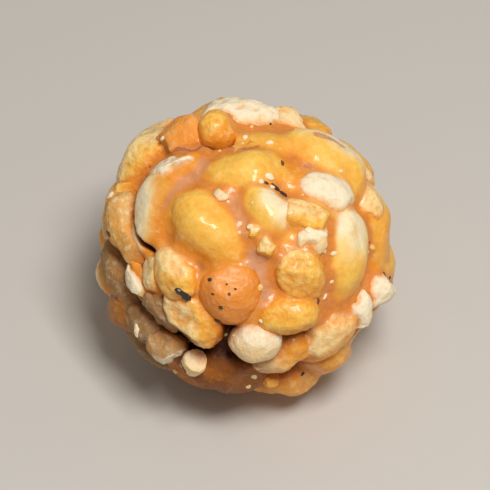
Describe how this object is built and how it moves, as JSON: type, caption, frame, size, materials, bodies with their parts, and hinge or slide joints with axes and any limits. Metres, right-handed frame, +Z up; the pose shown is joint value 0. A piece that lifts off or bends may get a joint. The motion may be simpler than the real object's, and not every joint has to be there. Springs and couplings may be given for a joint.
{
  "type": "peanut ladoo",
  "caption": "Round sweet of roasted peanut kernels, split halves and broken bits bound in glossy set jaggery, pressed a little flat underneath where it rests.",
  "frame": {"origin": "middle of the footprint, on the surface that the ball rests on", "axes": "+Z up from the resting surface; the side best seen faces -Y and upwards; +X to the right as seen from there"},
  "size_m": [0.0439, 0.0442, 0.041],
  "materials": {
    "glazed_peanut": "satin",
    "jaggery": "gloss",
    "bare_peanut": "matte",
    "peanut_skin": "satin"
  },
  "bodies": {
    "root": {"ladoo": "glazed_peanut"}
  },
  "joints": []
}
